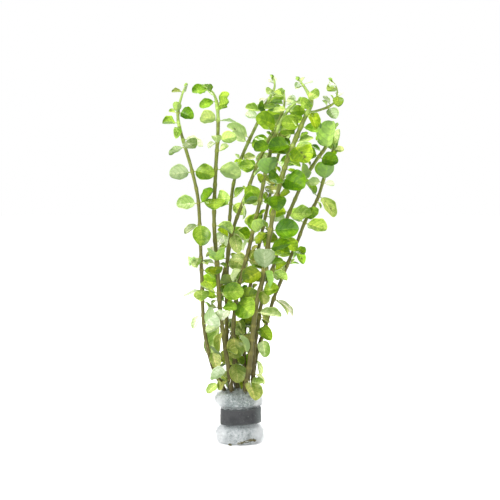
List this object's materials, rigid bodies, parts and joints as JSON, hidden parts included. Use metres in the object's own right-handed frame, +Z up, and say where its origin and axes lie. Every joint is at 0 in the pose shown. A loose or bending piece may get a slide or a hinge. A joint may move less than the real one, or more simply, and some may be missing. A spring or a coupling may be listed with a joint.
{
  "type": "aquarium plant bunch",
  "caption": "Upright bunch of round-leaved stems held at the foot by a mineral-wool plug with a wound grey metal strip.",
  "frame": {"origin": "centre of the flat foot of the wool plug", "axes": "+Z up along the stems, -Y towards the viewer of the picture, +X to the viewer's right"},
  "size_m": [0.101, 0.0596, 0.2059],
  "materials": {
    "plant": "satin, thin and translucent",
    "wool": "matte, fibrous",
    "strip": "dull"
  },
  "bodies": {
    "root": {"leafy_stem_1": "plant", "leafy_stem_2": "plant", "leafy_stem_3": "plant", "leafy_stem_4": "plant", "leafy_stem_5": "plant", "leafy_stem_6": "plant", "leafy_stem_7": "plant", "leafy_stem_8": "plant", "leafy_stem_9": "plant", "side_stem": "plant", "wool_plug": "wool", "metal_strip": "strip"}
  },
  "joints": []
}
